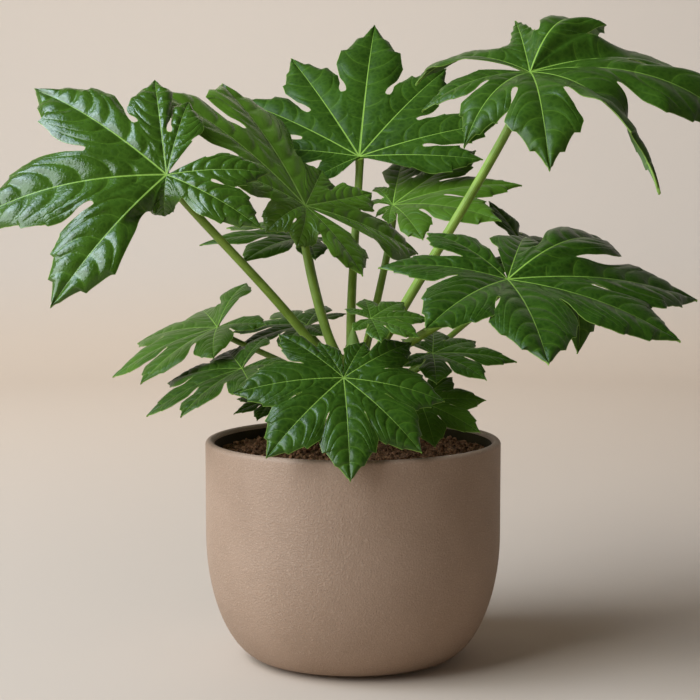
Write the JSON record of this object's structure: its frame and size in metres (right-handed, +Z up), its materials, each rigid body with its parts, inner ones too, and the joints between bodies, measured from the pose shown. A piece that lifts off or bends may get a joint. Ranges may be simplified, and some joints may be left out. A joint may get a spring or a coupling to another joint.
{
  "type": "potted fatsia",
  "caption": "Potted fatsia house plant with broad glossy palmate leaves on long stalks, standing in soil in a round matte stoneware pot",
  "frame": {"origin": "centre of the flat underside of the pot's foot, on the surface that the pot stands on", "axes": "+Z up along the pot's axis; +X to the right and +Y away from the viewer, seen from the front, where the front leaf hangs over the rim"},
  "size_m": [0.652, 0.46, 0.5748],
  "materials": {
    "pot": "matte",
    "soil": "matte",
    "stem": "matte",
    "stalk": "satin",
    "leaf": "satin"
  },
  "bodies": {
    "root": {"pot": "pot", "soil": "soil", "stem": "stem", "left_high_stalk": "stalk", "left_high_blade": "leaf", "left_back_stalk": "stalk", "left_back_blade": "leaf", "top_stalk": "stalk", "top_blade": "leaf", "right_middle_stalk": "stalk", "right_middle_blade": "leaf", "right_high_stalk": "stalk", "right_high_blade": "leaf", "right_front_stalk": "stalk", "right_front_blade": "leaf", "front_stalk": "stalk", "front_blade": "leaf", "under_back_stalk": "stalk", "under_back_blade": "leaf", "left_upper_stalk": "stalk", "left_upper_blade": "leaf", "left_lower_stalk": "stalk", "left_lower_blade": "leaf", "left_behind_stalk": "stalk", "left_behind_blade": "leaf", "centre_small_stalk": "stalk", "centre_small_blade": "leaf", "right_small_stalk": "stalk", "right_small_blade": "leaf", "right_low_stalk": "stalk", "right_low_blade": "leaf", "left_low_stalk": "stalk", "left_low_blade": "leaf", "right_back_stalk": "stalk", "right_back_blade": "leaf"}
  },
  "joints": []
}
